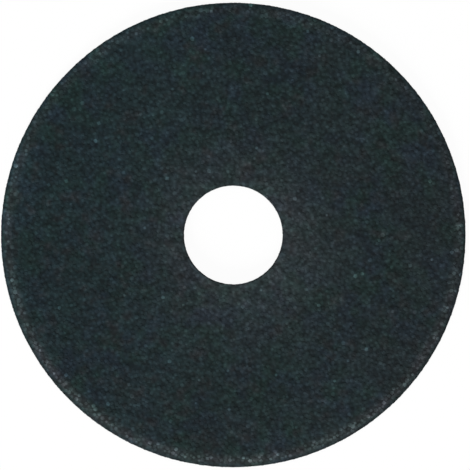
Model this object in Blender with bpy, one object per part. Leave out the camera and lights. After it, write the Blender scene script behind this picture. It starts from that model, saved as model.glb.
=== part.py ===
"""A flat reinforced cut-off wheel: one pressed and cured disc of resin-bonded abrasive.

The wheel lies on its lower face. The origin is the centre of the bore in the plane of that face,
and +Z is the spin axis. Lengths are in metres.

The section is turned round the spin axis. From the bore outwards it has a chamfered bore edge, the
flat face that the machine's flanges clamp, the bare margin that falls away in a gentle arc where the
glass mesh under the face ends, and the tighter arc of the rim's corner.
"""

import math

import bmesh
import bpy
from mathutils import Vector

OUTER_DIAMETER = 0.105
BORE_DIAMETER = 0.02223
THICKNESS = 0.0016

# Each face's chamfer at the bore, measured along the face and down the bore wall.
BORE_CHAMFER = 0.00015

# The glass mesh stops this far short of the rim. From there each face falls away, to this slope.
MARGIN_WIDTH = 0.0030
MARGIN_SLOPE = math.radians(14)
MARGIN_STEPS = 4

RIM_CORNER_RADIUS = 0.00035
RIM_CORNER_STEPS = 4

SEGMENTS = 180

SPIN_AXIS = Vector((0.0, 0.0, 1.0))

# Wider than the rounding that a full turn gathers at the rim, and far under the smallest edge.
WELD_DISTANCE = 1e-6
SHARP_ANGLE = math.radians(35)

ABRASIVE_COLOUR = (0.018, 0.027, 0.030, 1.0)
ABRASIVE_ROUGHNESS = 0.85
ABRASIVE_SPECULAR = 0.25


def clear_scene():
    for thing in list(bpy.data.objects):
        bpy.data.objects.remove(thing)


def arc(centre, arc_radius, first_slope, last_slope, steps):
    """Points of radius and height on an arc, from where it slopes down by one angle to another."""
    centre_radius, centre_height = centre
    points = []
    for step in range(steps + 1):
        slope = first_slope + (last_slope - first_slope) * step / steps
        points.append(
            (
                centre_radius + arc_radius * math.sin(slope),
                centre_height + arc_radius * math.cos(slope),
            )
        )
    return points


def bare_margin(rim_radius, face_height):
    """The gentle arc from the flat face and the rim corner's arc, which meet at the same slope."""
    corner_width = RIM_CORNER_RADIUS * (1 - math.sin(MARGIN_SLOPE))
    arc_radius = (MARGIN_WIDTH - corner_width) / math.sin(MARGIN_SLOPE)
    gentle = arc(
        (rim_radius - MARGIN_WIDTH, face_height - arc_radius), arc_radius, 0.0, MARGIN_SLOPE, MARGIN_STEPS
    )
    end_radius, end_height = gentle.pop()
    corner_centre = (
        end_radius - RIM_CORNER_RADIUS * math.sin(MARGIN_SLOPE),
        end_height - RIM_CORNER_RADIUS * math.cos(MARGIN_SLOPE),
    )
    corner = arc(corner_centre, RIM_CORNER_RADIUS, MARGIN_SLOPE, 0.5 * math.pi, RIM_CORNER_STEPS)
    return gentle + corner


def half_section():
    """The section above mid thickness, from the bore wall to the rim wall, with heights from mid thickness."""
    bore_radius = 0.5 * BORE_DIAMETER
    face_height = 0.5 * THICKNESS
    return [
        (bore_radius, face_height - BORE_CHAMFER),
        (bore_radius + BORE_CHAMFER, face_height),
        *bare_margin(0.5 * OUTER_DIAMETER, face_height),
    ]


def full_section():
    """The closed outline of the section, in the order that puts the turned faces' outside outwards."""
    upper = half_section()
    lower = [(radius, -height) for radius, height in reversed(upper)]
    mid_height = 0.5 * THICKNESS
    return [(radius, mid_height + height) for radius, height in upper + lower]


def turned_mesh(name, section):
    """A solid of revolution about +Z, from a closed outline of radius and height."""
    shape = bmesh.new()
    corners = [shape.verts.new((radius, 0.0, height)) for radius, height in section]
    outline = [
        shape.edges.new((corner, corners[(index + 1) % len(corners)]))
        for index, corner in enumerate(corners)
    ]
    bmesh.ops.spin(
        shape,
        geom=corners + outline,
        axis=SPIN_AXIS,
        cent=Vector(),
        angle=2 * math.pi,
        steps=SEGMENTS,
    )
    bmesh.ops.remove_doubles(shape, verts=shape.verts[:], dist=WELD_DISTANCE)
    bmesh.ops.recalc_face_normals(shape, faces=shape.faces[:])
    mesh = bpy.data.meshes.new(name)
    shape.to_mesh(mesh)
    shape.free()
    mesh.shade_smooth()
    mesh.set_sharp_from_angle(angle=SHARP_ANGLE)
    return mesh


def abrasive_material():
    """Dark green-black resin bond, matt all over."""
    material = bpy.data.materials.new("bonded_abrasive")
    material.use_nodes = True
    shader = material.node_tree.nodes["Principled BSDF"]
    shader.inputs["Base Color"].default_value = ABRASIVE_COLOUR
    shader.inputs["Roughness"].default_value = ABRASIVE_ROUGHNESS
    shader.inputs["Specular IOR Level"].default_value = ABRASIVE_SPECULAR
    shader.inputs["Metallic"].default_value = 0.0
    return material


def build_wheel():
    mesh = turned_mesh("cutting_disc", full_section())
    mesh.materials.append(abrasive_material())
    disc = bpy.data.objects.new("cutting_disc", mesh)
    bpy.context.scene.collection.objects.link(disc)
    return disc


clear_scene()
build_wheel()
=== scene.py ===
"""The looks of a flat reinforced cut-off wheel, seen from straight above on a white table.

The pressed disc is one closed skin, drawn out ring by ring, with the relief of the glass mesh and the
roughness of the grit pressed into it. Crushed grains stand in its faces, its bare margin, its rim and
its bore. Lengths are in metres.
"""

import math

import bpy
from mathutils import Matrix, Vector


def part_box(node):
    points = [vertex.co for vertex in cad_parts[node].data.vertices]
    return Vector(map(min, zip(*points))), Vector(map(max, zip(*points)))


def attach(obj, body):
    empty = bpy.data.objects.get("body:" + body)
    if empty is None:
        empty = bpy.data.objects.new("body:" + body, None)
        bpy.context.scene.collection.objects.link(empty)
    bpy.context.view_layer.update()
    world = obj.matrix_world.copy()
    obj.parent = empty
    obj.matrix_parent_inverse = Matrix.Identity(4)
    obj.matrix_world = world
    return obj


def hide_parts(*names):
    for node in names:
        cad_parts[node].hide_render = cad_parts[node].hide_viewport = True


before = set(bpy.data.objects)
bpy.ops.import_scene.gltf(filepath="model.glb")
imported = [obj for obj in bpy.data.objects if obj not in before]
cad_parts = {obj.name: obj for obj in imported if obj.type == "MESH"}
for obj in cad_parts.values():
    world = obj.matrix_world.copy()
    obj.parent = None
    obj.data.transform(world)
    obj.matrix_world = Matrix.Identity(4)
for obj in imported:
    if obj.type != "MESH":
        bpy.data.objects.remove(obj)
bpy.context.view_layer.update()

MM = 0.001

# The wheel's size, from the frame.
WHEEL_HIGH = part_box("cutting_disc")[1]
RIM_RADIUS = WHEEL_HIGH.x
THICKNESS = WHEEL_HIGH.z
MID_HEIGHT = 0.5 * THICKNESS
BORE_RADIUS = min(v.co.xy.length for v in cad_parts["cutting_disc"].data.vertices)

# The section's edges, as on the solid. The glass mesh ends where the bare margin starts.
BORE_CHAMFER = 0.15 * MM
MARGIN_WIDTH = 3.0 * MM
MARGIN_SLOPE = math.radians(14)
RIM_CORNER_RADIUS = 0.35 * MM
MESH_RADIUS = RIM_RADIUS - MARGIN_WIDTH

# The skin starts at the bore with a ring of this many corners, and is drawn out in steps no longer than
# these, over the upper half, the lower half and the rim's corner.
BORE_CORNERS = 330
UPPER_STEP = 0.45 * MM
LOWER_STEP = 0.6 * MM
CORNER_STEP = 0.4 * RIM_CORNER_RADIUS

# The halves are welded where they are this close, and shaded smooth where faces turn by less than this.
WELD_DISTANCE = 0.01 * MM
SMOOTH_ANGLE = math.radians(40)

# The skin lies this far inside the solid, so that the grains that stand in it stay within the solid.
SKIN_DEPTH = 0.05 * MM

# The glass mesh under the face: each yarn raises a soft swell. A turn is the way from yarn to yarn, from
# +X. The mesh lies a little askew, and its cross yarns are bowed and fan out, by so much per metre. Its
# relief fades out towards its end.
SWELL_WIDTH = 3.2 * MM
SWELL_HEIGHT = 0.075 * MM
LONG_YARN_PITCH = 3.725 * MM
LONG_YARN_TURN = math.radians(-12.9)
LONG_YARN_START = 0.0 * MM
CROSS_YARN_PITCH = 3.68 * MM
CROSS_YARN_TURN = math.radians(73.4)
CROSS_YARN_START = 2.0 * MM
CROSS_YARN_BOW = 2.57
CROSS_YARN_FAN = -1.35
MESH_END = (MESH_RADIUS, MESH_RADIUS - 0.8 * MM)

# The roughness that grit gives the skin: how wide its bumps are, and how high. It is coarser on the bare
# margin, which starts softly.
FACE_GRIT = 0.6 * MM
FACE_ROUGHNESS = 0.014 * MM
MARGIN_GRIT = 1.1 * MM
MARGIN_ROUGHNESS = 0.09 * MM
MARGIN_START = (MESH_RADIUS - 0.5 * MM, MESH_RADIUS + 0.7 * MM)

# A crushed grain: how wide its foot and its top are, how deep it is, and how far it stands proud. Its
# corners are broken unevenly, and it is tilted and scaled at random. Nothing of it stands further than
# its reach from the skin. Its kinds have their own numbers of sides.
GRAIN_FOOT = 1.06 * MM
GRAIN_TOP = 0.78 * MM
GRAIN_DEPTH = 0.15 * MM
GRAIN_PROUD = 0.035 * MM
GRAIN_UNEVENNESS = 0.02 * MM
GRAIN_TILT = 0.06
GRAIN_REACH = 0.06 * MM
GRAIN_SCALES = (0.7, 1.3)
GRAIN_KINDS = 9
GRAIN_SIDES = (4, 5, 6)

# A grain's top is the face whose normal rises by more than this.
TOP_NORMAL = 0.9

# How close the grains may lie, and how many are tried in each square of that width. On the rim they are a
# little larger than on the faces. In the bore they are smaller and closer. The pieces' seeds are this far
# apart.
GRAIN_SPACING = 0.80 * MM
GRAINS_TRIED = 5
SEEDS_APART = 10
RIM_GRAIN_SIZE = 1.05
BORE_GRAIN_SIZE = 0.7
BORE_GRAIN_SPACING = 0.6 * MM

# The faces' grains start at one radius. Those of the upper face are two pieces, which meet at the other.
FACE_START = BORE_RADIUS + 0.3 * MM
FACE_MIDDLE = 37 * MM

# How matt the resin between the grains is, and the grains are. Both have little gloss.
SKIN_MATTNESS = 0.8
GRIT_MATTNESS = 0.7
GLOSS = 0.1

# Colours, as linear light.
GREEN_RESIN = (0.0081, 0.0187, 0.0213)
GREY_RESIN = (0.0125, 0.0185, 0.0204)
BLUISH = (0.0099, 0.0169, 0.0262)
GREENISH = (0.0081, 0.0211, 0.0183)
BROWNISH = (0.0157, 0.0178, 0.0195)
GREEN_DUST = (0.099, 0.128, 0.127)
BROWN_DUST = (0.128, 0.122, 0.137)

# The tinted patches, the zones in which they are strong, the brown patches and the dust's two tints: how
# wide they are, their noise's seed, over which stretch of it they fade in, and their least and greatest
# shares.
TINT_SIZE = 4.5 * MM
TINT_SEED = 1.0
TINT_FADE = (0.35, 0.65)
TINT_ZONE_SIZE = 9 * MM
TINT_ZONE_SEED = 3.0
TINT_ZONE_FADE = (0.3, 0.7)
TINT_SHARES = (0.1, 0.7)
BROWN_SIZE = 3 * MM
BROWN_SEED = 2.0
BROWN_FADE = (0.5, 0.75)
BROWN_SHARES = (0.0, 0.7)
DUST_TINT_SIZE = 3.5 * MM
DUST_TINT_SEED = 7.0
DUST_TINT_FADE = (0.4, 0.6)

# The dusty, worn resin round the bore: how far it reaches, how steeply it falls off, its centre, and its
# share of dust at the bore.
WORN_REACH = 34 * MM
WORN_FALL = 2.2
WORN_CENTRE = (1.2 * MM, -1.5 * MM, 0.0)
WORN_DUST = 0.11

# The pale ring on the bare margin, from its soft inner edge to its outer edge, its share of dust, and how
# strong it is towards +Y and towards -Y.
RING_INNER_EDGE = (RIM_RADIUS - 3.5 * MM, RIM_RADIUS - 1.6 * MM)
RING_OUTER_EDGE = (RIM_RADIUS - 0.3 * MM, RIM_RADIUS - 1.5 * MM)
RING_DUST = 0.175
RING_STRENGTHS = (0.35, 1.08)

# Speckle, blotches and clouds of light and dark: how wide they are, and how strong. The pale ring has
# its own coarser speckle.
SPECKLE_SIZE = 0.92 * MM
SPECKLE = 1.75
RING_SPECKLE_SIZE = 1.2 * MM
RING_SPECKLE = 1.9
BLOTCH_SIZE = 3 * MM
BLOTCH = 0.4
CLOUD_SIZE = 28 * MM
CLOUD_SEED = 319.0
CLOUD = 0.45
YARN_LIGHTENING = 0.02

# The rim is a little paler on one side: which way round from +X, over what width, how it fades in along
# that way, and how much.
PALE_SIDE_TURN = math.radians(130)
PALE_SIDE_WIDTH = 9 * MM
PALE_SIDE_FADE = (-0.3 * RIM_RADIUS, 0.8 * RIM_RADIUS)
PALE_SIDE = 0.23

# Painted highlight: the rim's edge is painted a little paler towards +Y, on its side away from the lamp.
PAINTED_EDGE_HIGHLIGHT_FADE = (RIM_RADIUS - 1.8 * MM, RIM_RADIUS - 0.6 * MM)
PAINTED_EDGE_HIGHLIGHT = 0.3

# Painted shade: how much darker the bore's edge is painted, and the rim's edge towards -Y.
BORE_EDGE_FADE = (BORE_RADIUS + 0.5 * MM, BORE_RADIUS + 0.1 * MM)
RIM_EDGE_FADE = (RIM_RADIUS - 0.8 * MM, RIM_RADIUS - 0.2 * MM)
EDGE_PAINTED_SHADE = 0.35

# How unlike in lightness the coated grains are, and how much more so on the pale ring. A few grains are
# bare: from which tone, and how much lighter. The skin between the grains is painted darker, more so on the
# ring: painted shade in the hollows between them.
GRAIN_CONTRAST = 0.4
RING_CONTRAST = 0.8
BARE_TONE = 0.99
BARE_LIGHTNESS = 1.4
SKIN_SHADE_LIGHTNESS = 0.85
RING_GAP_SHADE = 0.35

# The lamp, seen from the wheel: how far off, how high, and which way round from +X.
LAMP_DISTANCE = 3.0
LAMP_ELEVATION = math.radians(16)
LAMP_AZIMUTH = math.radians(249)
LAMP_SIZE = 0.9
LAMP_POWER = 171.0
WORLD_STRENGTH = 0.55

# The table. This share of its white is its own, and the rest is lit and takes the wheel's shadow.
TABLE_WIDTH = 4.0
TABLE_PAINT = (0.95, 0.95, 0.95, 1.0)
TABLE_MATTNESS = 0.9
WHITE_SHARE = 0.95

# The camera: the photo's frame, the rim's radius and how far left of the middle the wheel lies, in pixels.
# The lens and the sensor are in millimetres.
FRAME_PIXELS = 470
RIM_PIXELS = 232.4
CENTRE_SHIFT_PIXELS = 1.7
LENS = 100.0
SENSOR = 36.0


class Wire:
    """A node's output. Sums written with wires add Math nodes to the tree."""

    def __init__(self, tree, socket=None):
        self.tree = tree
        self.socket = socket

    def node(self, kind, settings=None, inputs=None, output=0):
        """Adds a node. Its settings are made first, then its inputs get values, wires or lists of wires.

        Sockets are given by name, or by number where a node has several of one name.
        """
        made = self.tree.nodes.new(kind)
        for name, value in (settings or {}).items():
            setattr(made, name, value)
        for name, value in (inputs or {}).items():
            if isinstance(value, Wire):
                self.tree.links.new(value.socket, made.inputs[name])
            elif isinstance(value, list):
                for wire in value:
                    self.tree.links.new(wire.socket, made.inputs[name])
            else:
                made.inputs[name].default_value = value
        return Wire(self.tree, made.outputs[output]) if made.outputs else made

    def out(self, name):
        """Another output of the same node."""
        return Wire(self.tree, self.socket.node.outputs[name])

    def math(self, operation, *values):
        return self.node("ShaderNodeMath", {"operation": operation}, dict(enumerate(values)))

    def fade(self, start, end, low=0.0, high=1.0):
        """low where the wire is at start or before it, high at end or past it, and a soft slope between."""
        settings = {"interpolation_type": "SMOOTHSTEP"}
        inputs = {"Value": self, "From Min": start, "From Max": end, "To Min": low, "To Max": high}
        return self.node("ShaderNodeMapRange", settings, inputs)

    def ramp(self, start, end):
        """0 where the wire is at start or before it, 1 at end or past it, and a straight slope between."""
        return self.node("ShaderNodeMapRange", inputs={"Value": self, "From Min": start, "From Max": end})

    def mix(self, first, second):
        """The first colour where the wire is 0, and the second where it is 1."""
        inputs = {0: self, 6: as_colour(first), 7: as_colour(second)}
        return self.node("ShaderNodeMix", {"data_type": "RGBA"}, inputs, output=2)

    def scaled(self, factor):
        """A colour or a vector times a number."""
        return self.node("ShaderNodeVectorMath", {"operation": "SCALE"}, {0: self, "Scale": factor})

    def exp(self):
        return self.math("EXPONENT", self)

    def __add__(self, other):
        return self.math("ADD", self, other)

    __radd__ = __add__

    def __mul__(self, other):
        return self.math("MULTIPLY", self, other)

    __rmul__ = __mul__

    def __sub__(self, other):
        return self.math("SUBTRACT", self, other)

    def __rsub__(self, other):
        return self.math("SUBTRACT", other, self)

    def __pow__(self, other):
        return self.math("POWER", self, other)


def as_colour(value):
    return value if isinstance(value, Wire) else (*value, 1.0)


def distance_from_axis(place):
    flat = place.node("ShaderNodeVectorMath", {"operation": "MULTIPLY"}, {0: place, 1: (1.0, 1.0, 0.0)})
    return flat.node("ShaderNodeVectorMath", {"operation": "LENGTH"}, {0: flat}, output="Value")


def noise(place, size, detail=2.0, seed=0.0):
    """Cloudy noise about 0.5, with blobs of about this size."""
    inputs = {"Vector": place, "W": seed, "Scale": 1 / size, "Detail": detail}
    return place.node("ShaderNodeTexNoise", {"noise_dimensions": "4D"}, inputs)


def speckles(place, size):
    """Noise about 0, with spots that are nearly all of this size."""
    inputs = {"Vector": place, "Scale": 1 / size, "Detail": 0.0}
    return place.node("ShaderNodeTexNoise", {"noise_dimensions": "3D"}, inputs) - 0.5


def swells(way, pitch):
    """1 along the middle of each yarn, and 0 between the yarns, by the way across them."""
    return way.math("PINGPONG", way, 0.5 * pitch).fade(0.5 * SWELL_WIDTH, 0.0)


def glass_mesh(place):
    """1 on top of the glass mesh's yarns, and 0 in its openings and on the bare margin."""
    parts = place.node("ShaderNodeSeparateXYZ", inputs={"Vector": place})
    x, y = parts.out("X"), parts.out("Y")
    to_long = x * math.cos(LONG_YARN_TURN) + y * math.sin(LONG_YARN_TURN) - LONG_YARN_START
    to_cross = x * math.cos(CROSS_YARN_TURN) + y * math.sin(CROSS_YARN_TURN) - CROSS_YARN_START
    to_cross = to_cross + x * (x * CROSS_YARN_BOW + y * CROSS_YARN_FAN)
    inside = distance_from_axis(place).fade(*MESH_END)
    long_yarns = swells(to_long, LONG_YARN_PITCH)
    return long_yarns.math("MAXIMUM", long_yarns, swells(to_cross, CROSS_YARN_PITCH)) * inside


def bare_margin(place):
    """0 on the faces, and 1 from the edge of the glass mesh outwards."""
    return distance_from_axis(place).fade(*MARGIN_START)


def geometry_tree(name):
    """An empty tree of geometry nodes, and the wire of the geometry that comes in."""
    tree = bpy.data.node_groups.new(name, "GeometryNodeTree")
    tree.interface.new_socket("Geometry", in_out="INPUT", socket_type="NodeSocketGeometry")
    tree.interface.new_socket("Geometry", in_out="OUTPUT", socket_type="NodeSocketGeometry")
    return Wire(tree).node("NodeGroupInput")


def apply_nodes(piece, geometry):
    """Ends the tree with this geometry, and applies it to the piece."""
    geometry.node("NodeGroupOutput", inputs={0: geometry})
    modifier = piece.modifiers.new(geometry.tree.name, "NODES")
    modifier.node_group = geometry.tree
    select_only(piece)
    bpy.ops.object.modifier_apply(modifier=modifier.name)


def select_only(*pieces):
    bpy.ops.object.select_all(action="DESELECT")
    for piece in pieces:
        piece.select_set(True)
    bpy.context.view_layer.objects.active = pieces[0]


def edit_all(piece):
    """Puts the piece in edit mode with everything selected."""
    select_only(piece)
    bpy.ops.object.mode_set(mode="EDIT")
    bpy.ops.mesh.select_all(action="SELECT")


def spaced(start, end, longest):
    """Points from start to end, both included, in steps no longer than this."""
    start, end = Vector(start), Vector(end)
    steps = max(1, math.ceil((end - start).length / longest))
    return [tuple(start.lerp(end, step / steps)) for step in range(steps + 1)]


def arc(centre, radius, first_slope, last_slope, longest):
    """Points of radius and height along an arc, from where it slopes down by one angle to another."""
    steps = max(1, math.ceil(radius * (last_slope - first_slope) / longest))
    slopes = [first_slope + (last_slope - first_slope) * step / steps for step in range(steps + 1)]
    return [(centre[0] + radius * math.sin(a), centre[1] + radius * math.cos(a)) for a in slopes]


def half_section(longest):
    """The section's upper half, from the middle of the bore wall to the middle of the rim wall."""
    corner_width = RIM_CORNER_RADIUS * (1 - math.sin(MARGIN_SLOPE))
    margin_radius = (MARGIN_WIDTH - corner_width) / math.sin(MARGIN_SLOPE)
    margin = arc((MESH_RADIUS, THICKNESS - margin_radius), margin_radius, 0.0, MARGIN_SLOPE, longest)
    end_radius, end_height = margin[-1]
    corner_centre = (
        end_radius - RIM_CORNER_RADIUS * math.sin(MARGIN_SLOPE),
        end_height - RIM_CORNER_RADIUS * math.cos(MARGIN_SLOPE),
    )
    corner = arc(corner_centre, RIM_CORNER_RADIUS, MARGIN_SLOPE, 0.5 * math.pi, CORNER_STEP)
    bore_edge = (BORE_RADIUS, THICKNESS - BORE_CHAMFER)
    face_start = (BORE_RADIUS + BORE_CHAMFER, THICKNESS)
    return [
        *spaced((BORE_RADIUS, MID_HEIGHT), bore_edge, longest),
        *spaced(face_start, (MESH_RADIUS, THICKNESS), longest),
        *margin[1:],
        *corner[1:],
        (RIM_RADIUS, MID_HEIGHT),
    ]


def turned_half(name, longest):
    """The skin above mid thickness, drawn out ring by ring. Halfway out, each edge is split in two."""
    section = half_section(longest)
    radius, height = section[0]
    bpy.ops.object.select_all(action="DESELECT")
    bpy.ops.mesh.primitive_circle_add(vertices=BORE_CORNERS, radius=radius, location=(0, 0, height))
    skin = bpy.context.object
    skin.name = name
    bpy.ops.object.mode_set(mode="EDIT")
    for next_radius, next_height in section[1:]:
        bpy.ops.mesh.extrude_region_move(TRANSFORM_OT_translate={"value": (0, 0, next_height - height)})
        growth = next_radius / radius
        bpy.ops.transform.resize(value=(growth, growth, 1), center_override=(0, 0, 0))
        if radius < 0.5 * RIM_RADIUS <= next_radius:
            bpy.ops.mesh.subdivide(number_cuts=1)
        radius, height = next_radius, next_height
    bpy.ops.object.mode_set(mode="OBJECT")
    bpy.ops.object.transform_apply(location=True)
    return skin


def flip_over(piece):
    """Turns an upper half into a lower one."""
    edit_all(piece)
    bpy.ops.transform.resize(value=(1, 1, -1), center_override=(0, 0, MID_HEIGHT))
    bpy.ops.object.mode_set(mode="OBJECT")


def close_skin(upper, lower):
    """Joins the halves, welds them at mid thickness and turns every face outwards."""
    select_only(upper, lower)
    bpy.ops.object.join()
    edit_all(upper)
    bpy.ops.mesh.remove_doubles(threshold=WELD_DISTANCE)
    bpy.ops.mesh.normals_make_consistent(inside=False)
    bpy.ops.object.mode_set(mode="OBJECT")
    bpy.ops.object.shade_smooth_by_angle(angle=SMOOTH_ANGLE)


def in_order(geometry):
    """The same mesh with its faces sorted by place. Blender draws them out in a new order in each run."""
    place = geometry.node("GeometryNodeInputPosition")
    parts = place.node("ShaderNodeSeparateXYZ", inputs={"Vector": place})
    for axis in "ZYX":
        inputs = {"Geometry": geometry, "Sort Weight": parts.out(axis)}
        geometry = geometry.node("GeometryNodeSortElements", {"domain": "FACE"}, inputs)
    return geometry


def press_relief(piece):
    """Sinks the skin below the solid's surface, least on the yarns, and roughens it by the grit in it."""
    start = geometry_tree("pressed_relief")
    place = start.node("GeometryNodeInputPosition")
    outwards = start.node("GeometryNodeInputNormal")
    margin = bare_margin(place)
    face_bumps = (noise(place, FACE_GRIT, detail=1.0) - 0.5) * (1 - margin) * FACE_ROUGHNESS
    margin_bumps = (noise(place, MARGIN_GRIT, detail=1.0) - 0.5) * margin * MARGIN_ROUGHNESS
    facing = outwards.node("ShaderNodeSeparateXYZ", inputs={"Vector": outwards}).out("Z")
    hollows = (1 - glass_mesh(place)) * facing.math("ABSOLUTE", facing) * SWELL_HEIGHT
    depth = SKIN_DEPTH + hollows + face_bumps + margin_bumps
    inputs = {"Geometry": in_order(start), "Offset": outwards.scaled(depth * -1.0)}
    apply_nodes(piece, start.node("GeometryNodeSetPosition", inputs=inputs))


def crushed_grain(name, sides, seed):
    """One grain: a short prism, drawn in at its top, with its corners broken unevenly."""
    bpy.ops.object.select_all(action="DESELECT")
    bpy.ops.mesh.primitive_cylinder_add(vertices=sides, radius=0.5 * GRAIN_FOOT, depth=GRAIN_DEPTH)
    grain = bpy.context.object
    grain.name = name
    edit_all(grain)
    bpy.ops.mesh.select_all(action="DESELECT")
    bpy.ops.object.mode_set(mode="OBJECT")
    for face in grain.data.polygons:
        face.select = face.normal.z > TOP_NORMAL
    bpy.ops.object.mode_set(mode="EDIT")
    growth = GRAIN_TOP / GRAIN_FOOT
    bpy.ops.transform.resize(value=(growth, growth, 1), center_override=(0, 0, 0))
    bpy.ops.mesh.select_all(action="SELECT")
    bpy.ops.transform.vertex_random(offset=GRAIN_UNEVENNESS, seed=seed)
    bpy.ops.transform.translate(value=(0, 0, GRAIN_PROUD - 0.5 * GRAIN_DEPTH))
    bpy.ops.object.mode_set(mode="OBJECT")
    return grain


def random_number(start, low, high, seed):
    inputs = {2: low, 3: high, "Seed": seed}
    return start.node("FunctionNodeRandomValue", {"data_type": "FLOAT"}, inputs, output=1)


def random_vector(start, low, high, seed):
    inputs = {0: low, 1: high, "Seed": seed}
    return start.node("FunctionNodeRandomValue", {"data_type": "FLOAT_VECTOR"}, inputs, output=0)


def pressed_in(start, grit, skin):
    """Draws in, towards the skin, whatever stands further from it than a grain's reach."""
    place = start.node("GeometryNodeInputPosition")
    on_skin = start.node("GeometryNodeProximity", {"target_element": "FACES"}, {"Geometry": skin})
    away = place.node("ShaderNodeVectorMath", {"operation": "SUBTRACT"}, {0: place, 1: on_skin})
    distance = on_skin.out("Distance")
    share = distance.math("DIVIDE", GRAIN_REACH, distance.math("MAXIMUM", distance, GRAIN_REACH))
    offset = away.scaled(share - 1)
    return start.node("GeometryNodeSetPosition", inputs={"Geometry": grit, "Offset": offset})


def pressed_level(start, grit):
    """Presses level what stands out past the mould's plates, its ring or its pin."""
    place = start.node("GeometryNodeInputPosition")
    parts = place.node("ShaderNodeSeparateXYZ", inputs={"Vector": place})
    x, y, z = parts.out("X"), parts.out("Y"), parts.out("Z")
    radius = distance_from_axis(place)
    level_radius = z.math("MINIMUM", z.math("MAXIMUM", radius, BORE_RADIUS), RIM_RADIUS)
    growth = z.math("DIVIDE", level_radius, radius)
    height = z.math("MINIMUM", z.math("MAXIMUM", z, 0.0), THICKNESS)
    level = start.node("ShaderNodeCombineXYZ", inputs={"X": x * growth, "Y": y * growth, "Z": height})
    return start.node("GeometryNodeSetPosition", inputs={"Geometry": grit, "Position": level})


def scatter_grit(name, grains, disc, zone, spacing, size, seed):
    """Grains of grit set in the disc's skin over a zone, no closer to each other than the spacing."""
    select_only(grains[0])
    bpy.ops.object.duplicate()
    piece = bpy.context.object
    piece.name = name
    start = geometry_tree(name)
    skin = start.node("GeometryNodeObjectInfo", inputs={"Object": disc}).out("Geometry")
    place = start.node("GeometryNodeInputPosition")
    points = start.node(
        "GeometryNodeDistributePointsOnFaces",
        {"distribute_method": "POISSON"},
        {
            "Mesh": skin,
            "Selection": zone(place),
            "Distance Min": spacing,
            "Density Max": GRAINS_TRIED / spacing**2,
            "Seed": seed,
        },
    )
    kinds = [
        start.node("GeometryNodeObjectInfo", inputs={"Object": grain, "As Instance": True}).out("Geometry")
        for grain in grains
    ]
    smallest, largest = GRAIN_SCALES
    lowest_turn = (-GRAIN_TILT, -GRAIN_TILT, 0.0)
    turn = random_vector(start, lowest_turn, (GRAIN_TILT, GRAIN_TILT, 2 * math.pi), seed + 1)
    turned = start.node(
        "FunctionNodeRotateRotation",
        {"rotation_space": "LOCAL"},
        {"Rotation": points.out("Rotation"), "Rotate By": turn},
    )
    placed = start.node(
        "GeometryNodeInstanceOnPoints",
        inputs={
            "Points": points,
            "Instance": start.node("GeometryNodeJoinGeometry", inputs={0: kinds}),
            "Pick Instance": True,
            "Rotation": turned,
            "Scale": random_number(start, smallest * size, largest * size, seed + 2),
        },
    )
    toned = start.node(
        "GeometryNodeStoreNamedAttribute",
        {"data_type": "FLOAT", "domain": "INSTANCE"},
        {"Geometry": placed, "Name": "tone", "Value": random_number(start, 0.0, 1.0, seed + 3)},
    )
    grit = start.node("GeometryNodeRealizeInstances", inputs={0: toned})
    apply_nodes(piece, pressed_level(start, pressed_in(start, grit, skin)))
    return piece


def bond_colour(place):
    """Dark resin bond, tinted in patches, with pale dust round the bore and on the bare margin."""
    x = place.node("ShaderNodeSeparateXYZ", inputs={"Vector": place}).out("X")
    resin = x.ramp(-RIM_RADIUS, RIM_RADIUS).mix(GREEN_RESIN, GREY_RESIN)
    tints = noise(place, TINT_SIZE, seed=TINT_SEED).fade(*TINT_FADE).mix(BLUISH, GREENISH)
    tinted = noise(place, TINT_ZONE_SIZE, seed=TINT_ZONE_SEED).fade(*TINT_ZONE_FADE, *TINT_SHARES)
    brown = noise(place, BROWN_SIZE, seed=BROWN_SEED).fade(*BROWN_FADE, *BROWN_SHARES)
    bond = brown.mix(tinted.mix(resin, tints), BROWNISH)
    from_worn = place.node("ShaderNodeVectorMath", {"operation": "SUBTRACT"}, {0: place, 1: WORN_CENTRE})
    worn = distance_from_axis(from_worn).ramp(WORN_REACH, BORE_RADIUS) ** WORN_FALL
    dust_tint = noise(place, DUST_TINT_SIZE, seed=DUST_TINT_SEED).fade(*DUST_TINT_FADE)
    dust = dust_tint.mix(GREEN_DUST, BROWN_DUST)
    return (worn * WORN_DUST + pale_ring(place) * RING_DUST).mix(bond, dust)


def towards_minus_y(place, low, high):
    """high on the side towards -Y, and low on the opposite side."""
    y = place.node("ShaderNodeSeparateXYZ", inputs={"Vector": place}).out("Y")
    return y.fade(RIM_RADIUS, -RIM_RADIUS, low, high)


def pale_side(place):
    """1 at the rim on its pale side, 0 on the opposite side and further in."""
    parts = place.node("ShaderNodeSeparateXYZ", inputs={"Vector": place})
    along = parts.out("X") * math.cos(PALE_SIDE_TURN) + parts.out("Y") * math.sin(PALE_SIDE_TURN)
    near_rim = distance_from_axis(place).fade(RIM_RADIUS - PALE_SIDE_WIDTH, RIM_RADIUS)
    return near_rim * along.fade(*PALE_SIDE_FADE)


def pale_ring(place):
    """The bare margin, where more of the grit shows, short of the rim's corner."""
    radius = distance_from_axis(place)
    ring = radius.fade(*RING_INNER_EDGE) * radius.fade(*RING_OUTER_EDGE)
    return ring * towards_minus_y(place, *RING_STRENGTHS)


def abrasive_material(name, lightness, mattness):
    """The bond's colour, times a lightness that the wheel's own places give."""
    material = bpy.data.materials.new(name)
    material.use_nodes = True
    tree = material.node_tree
    shader = tree.nodes["Principled BSDF"]
    place = Wire(tree).node("ShaderNodeTexCoord").out("Object")
    colour = bond_colour(place).scaled(lightness(place))
    tree.links.new(colour.socket, shader.inputs["Base Color"])
    shader.inputs["Roughness"].default_value = mattness
    shader.inputs["Specular IOR Level"].default_value = GLOSS
    return material


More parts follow.
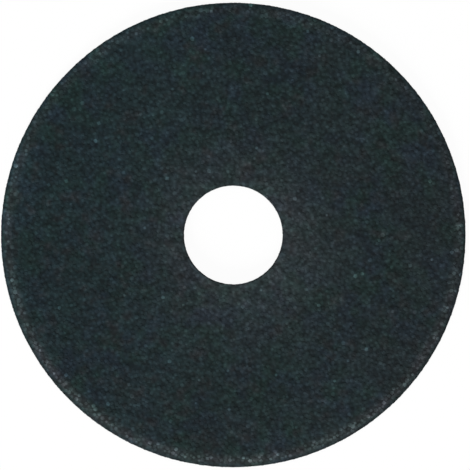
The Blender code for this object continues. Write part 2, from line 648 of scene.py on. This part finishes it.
def mottling(place):
    """How light each place is: soft spots of every size, the yarns, a painted highlight on the rim's edge
    towards +Y, and painted shade on the bore's edge and the rim's edge towards -Y.
    """
    speckle = speckles(place, SPECKLE_SIZE) * SPECKLE
    coarse = speckles(place, RING_SPECKLE_SIZE) * pale_ring(place) * RING_SPECKLE
    blotches = speckles(place, BLOTCH_SIZE) * BLOTCH
    clouds = (noise(place, CLOUD_SIZE, detail=1.0, seed=CLOUD_SEED) - 0.5) * CLOUD
    yarns = glass_mesh(place) * YARN_LIGHTENING
    radius = distance_from_axis(place)
    # Painted shade on the rim's edge towards -Y and on the bore's edge.
    rim_edge_shade = radius.fade(*RIM_EDGE_FADE) * towards_minus_y(place, 0.0, 1.0)
    bore_edge = radius.fade(*BORE_EDGE_FADE)
    # Painted highlight on the rim's edge towards +Y.
    painted_edge_highlight = radius.fade(*PAINTED_EDGE_HIGHLIGHT_FADE) * towards_minus_y(place, 1.0, 0.0)
    spots = speckle + coarse + blotches + clouds + yarns
    pale = pale_side(place) * PALE_SIDE + painted_edge_highlight * PAINTED_EDGE_HIGHLIGHT
    return (spots + pale - (rim_edge_shade + bore_edge) * EDGE_PAINTED_SHADE).exp()


def skin_lightness(place):
    """Painted shade: between the grains the resin is painted a little darker, more so on the pale ring."""
    return mottling(place) * (SKIN_SHADE_LIGHTNESS - pale_ring(place) * RING_GAP_SHADE)


def grit_lightness(place):
    """Most grains are coated with resin, each in its own tone, and a few show bare."""
    tone = place.node("ShaderNodeAttribute", {"attribute_name": "tone"}).out("Fac")
    coated = ((tone - 0.5) * (pale_ring(place) * RING_CONTRAST + GRAIN_CONTRAST)).exp()
    return (coated + tone.fade(BARE_TONE, 1.0) * BARE_LIGHTNESS) * mottling(place)


def dress(piece, material):
    piece.data.materials.clear()
    piece.data.materials.append(material)
    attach(piece, "root")


def make_disc():
    upper = turned_half("pressed_disc", UPPER_STEP)
    lower = turned_half("lower_half", LOWER_STEP)
    flip_over(lower)
    close_skin(upper, lower)
    press_relief(upper)
    dress(upper, abrasive_material("resin_skin", skin_lightness, SKIN_MATTNESS))
    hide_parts("cutting_disc")
    return upper


def above_middle(place):
    height = place.node("ShaderNodeSeparateXYZ", inputs={"Vector": place}).out("Z")
    return height.math("GREATER_THAN", height, MID_HEIGHT)


def ring_zone(inner, outer, side=None):
    """The part of the disc between two radii: all of it, or only its upper or lower side."""

    def zone(place):
        radius = distance_from_axis(place)
        held = radius.math("GREATER_THAN", radius, inner) * radius.math("LESS_THAN", radius, outer)
        if side == "upper":
            return held * above_middle(place)
        if side == "lower":
            return held * (1 - above_middle(place))
        return held

    return zone


def make_grit(disc):
    """Five pieces of grit, each with its zone, the spacing of its grains and their size."""
    sides = [GRAIN_SIDES[kind % len(GRAIN_SIDES)] for kind in range(GRAIN_KINDS)]
    grains = [crushed_grain(f"grain_{kind}", count, kind) for kind, count in enumerate(sides)]
    material = abrasive_material("coated_grit", grit_lightness, GRIT_MATTNESS)
    zones = {
        "inner_face_grit": (ring_zone(FACE_START, FACE_MIDDLE, "upper"), GRAIN_SPACING, 1.0),
        "outer_face_grit": (ring_zone(FACE_MIDDLE, MESH_RADIUS, "upper"), GRAIN_SPACING, 1.0),
        "lower_face_grit": (ring_zone(FACE_START, MESH_RADIUS, "lower"), GRAIN_SPACING, 1.0),
        "rim_grit": (ring_zone(MESH_RADIUS, 2 * RIM_RADIUS), GRAIN_SPACING, RIM_GRAIN_SIZE),
        "bore_grit": (ring_zone(0.0, FACE_START), BORE_GRAIN_SPACING, BORE_GRAIN_SIZE),
    }
    for number, (name, (zone, spacing, size)) in enumerate(zones.items()):
        piece = scatter_grit(name, grains, disc, zone, spacing, size, SEEDS_APART * number)
        dress(piece, material)
    select_only(*grains)
    bpy.ops.object.delete()


def seen_rays(tree):
    """1 for what the camera sees by itself, in gloss or through glass, and 0 for the light on the wheel."""
    ray = Wire(tree).node("ShaderNodeLightPath")
    in_gloss = ray.math("MAXIMUM", ray.out("Is Glossy Ray"), ray.out("Is Transmission Ray"))
    return ray.math("MAXIMUM", ray.out("Is Camera Ray"), in_gloss)


def make_table():
    """A pale table whose white the camera sees as it is, with a soft share of the shadow left in it."""
    bpy.ops.object.select_all(action="DESELECT")
    bpy.ops.mesh.primitive_plane_add(size=TABLE_WIDTH, location=(0, 0, 0))
    table = bpy.context.object
    table.name = "table"
    material = bpy.data.materials.new("white_table")
    material.use_nodes = True
    tree = material.node_tree
    paint = tree.nodes["Principled BSDF"]
    paint.inputs["Base Color"].default_value = TABLE_PAINT
    paint.inputs["Roughness"].default_value = TABLE_MATTNESS
    paint.inputs["Specular IOR Level"].default_value = 0.0
    white = Wire(tree).node("ShaderNodeEmission", inputs={"Color": (1.0, 1.0, 1.0, 1.0), "Strength": 1.0})
    share = seen_rays(tree) * WHITE_SHARE
    lit = white.node("ShaderNodeMixShader", inputs={0: share, 1: Wire(tree, paint.outputs[0]), 2: white})
    tree.links.new(lit.socket, tree.nodes["Material Output"].inputs["Surface"])
    table.data.materials.append(material)


def make_camera():
    """Looks straight down, with the wheel a little left of the middle of the picture."""
    pixel = RIM_RADIUS / RIM_PIXELS
    height = pixel * FRAME_PIXELS * LENS / SENSOR + MID_HEIGHT
    bpy.ops.object.camera_add(location=(CENTRE_SHIFT_PIXELS * pixel, 0.0, height), rotation=(0, 0, 0))
    camera = bpy.context.object
    camera.data.lens = LENS
    camera.data.sensor_width = SENSOR
    bpy.context.scene.camera = camera


def make_light():
    """Soft light from all round, and a broad low lamp to the lower left of the picture."""
    world = bpy.data.worlds.new("studio")
    bpy.context.scene.world = world
    world.use_nodes = True
    tree = world.node_tree
    strength = seen_rays(tree).fade(0.0, 1.0, WORLD_STRENGTH, 1.0)
    tree.links.new(strength.socket, tree.nodes["Background"].inputs["Strength"])
    tree.nodes["Background"].inputs["Color"].default_value = (1.0, 1.0, 1.0, 1.0)
    level = math.cos(LAMP_ELEVATION)
    aim = Vector((level * math.cos(LAMP_AZIMUTH), level * math.sin(LAMP_AZIMUTH), math.sin(LAMP_ELEVATION)))
    bpy.ops.object.light_add(type="AREA", location=LAMP_DISTANCE * aim)
    lamp = bpy.context.object
    lamp.rotation_euler = aim.to_track_quat("Z", "Y").to_euler()
    lamp.data.shape = "DISK"
    lamp.data.size = LAMP_SIZE
    lamp.data.energy = LAMP_POWER


make_grit(make_disc())
make_table()
make_camera()
make_light()

bpy.context.scene.view_settings.view_transform = "Standard"
